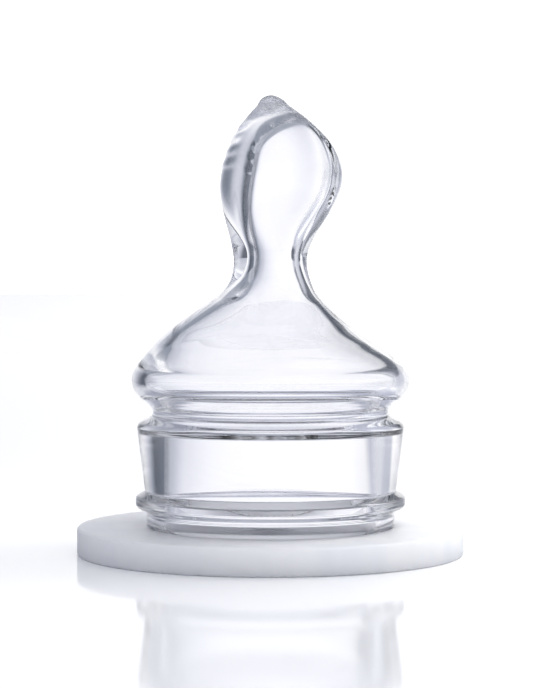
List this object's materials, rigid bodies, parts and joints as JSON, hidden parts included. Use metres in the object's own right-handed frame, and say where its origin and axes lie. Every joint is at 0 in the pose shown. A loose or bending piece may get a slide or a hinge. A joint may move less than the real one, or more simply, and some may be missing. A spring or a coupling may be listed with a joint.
{
  "type": "baby bottle teat",
  "caption": "Orthodontic silicone feeding teat with wide shoulder, ring bead and flat base flange for a narrow-neck baby bottle.",
  "frame": {"origin": "centre of the flat underside of the base flange", "axes": "+Z along the teat's axis up to the feeding tip, +X towards the fuller palate side of the bulb, -X towards its flatter tongue side, +Y along the bulb's wide direction on the air vent's side"},
  "size_m": [0.038, 0.038, 0.0449],
  "materials": {
    "clear_silicone": "clear, glossy liquid silicone rubber from a polished mould",
    "frosted_silicone": "milky, satin silicone rubber from an etched mould",
    "flap_silicone": "thin satin silicone rubber"
  },
  "bodies": {
    "teat_body": {"shoulder": "clear_silicone", "base_flange": "frosted_silicone"},
    "nipple_body": {"nipple": "clear_silicone"},
    "vent": {"vent_flap": "flap_silicone"}
  },
  "joints": [
    {"name": "nipple_flex", "type": "hinge", "parent": "teat_body", "child": "nipple_body", "pos_m": [0, 0, 0.0256], "axis": [0, 1, 0], "range_deg": [-20, 20], "stiffness_Nm_per_rad": 0.02},
    {"name": "vent_flap_bend", "type": "hinge", "parent": "teat_body", "child": "vent", "pos_m": [-0.0017, 0.0142, 0.00132], "axis": [0, 1, 0], "range_deg": [0, 14], "stiffness_Nm_per_rad": 0.0001}
  ]
}
